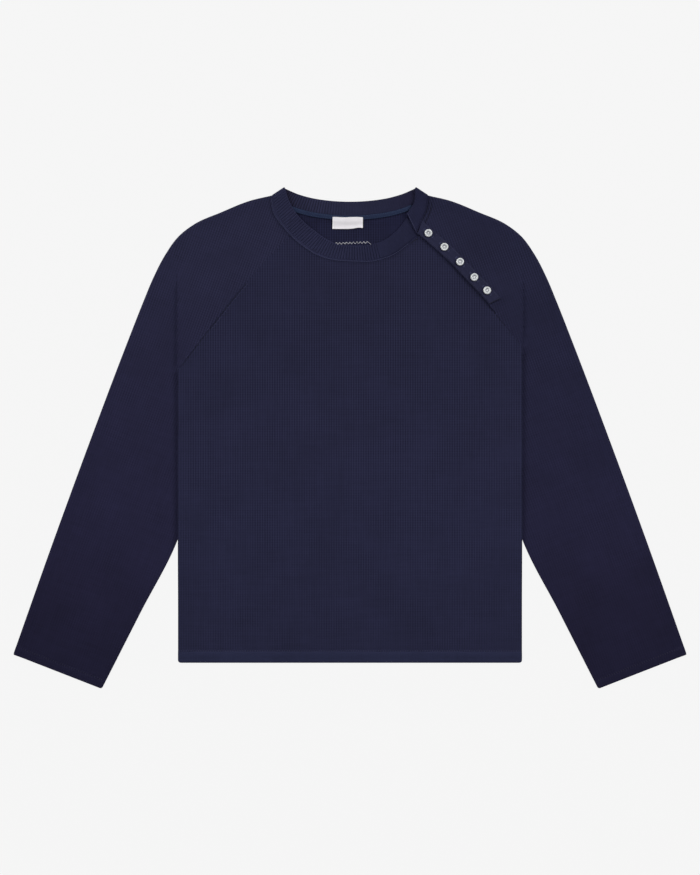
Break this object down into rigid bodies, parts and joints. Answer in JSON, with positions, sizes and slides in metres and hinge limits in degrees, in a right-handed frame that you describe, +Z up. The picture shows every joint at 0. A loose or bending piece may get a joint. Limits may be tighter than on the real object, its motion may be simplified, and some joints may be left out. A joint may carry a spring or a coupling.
{
  "type": "raglan thermal top laid flat",
  "caption": "Long-sleeved waffle-knit raglan top with a ribbed neckband and a buttoned shoulder placket, laid flat face up.",
  "frame": {"origin": "on the surface the top lies on, under the middle of its bounding box", "axes": "+X to the wearer's left, +Y from hem to neck, +Z up from the surface"},
  "size_m": [0.939, 0.6982, 0.0102],
  "materials": {
    "body_cloth": "navy cotton waffle knit, matt",
    "sleeve_cloth": "navy cotton waffle knit, matt, a little duller than the body",
    "rib_knit": "navy 1x1 rib knit, matt",
    "tape": "lighter blue twill tape",
    "label": "white woven label, bare",
    "pearl": "white pearly plastic"
  },
  "bodies": {
    "root": {"front": "body_cloth", "back": "body_cloth", "sleeve_right": "sleeve_cloth", "sleeve_left": "sleeve_cloth", "placket_top": "sleeve_cloth", "placket_under": "sleeve_cloth", "neckband": "rib_knit", "neck_tape": "tape", "label": "label", "button_1": "pearl", "button_2": "pearl", "button_3": "pearl", "button_4": "pearl", "button_5": "pearl"}
  },
  "joints": []
}
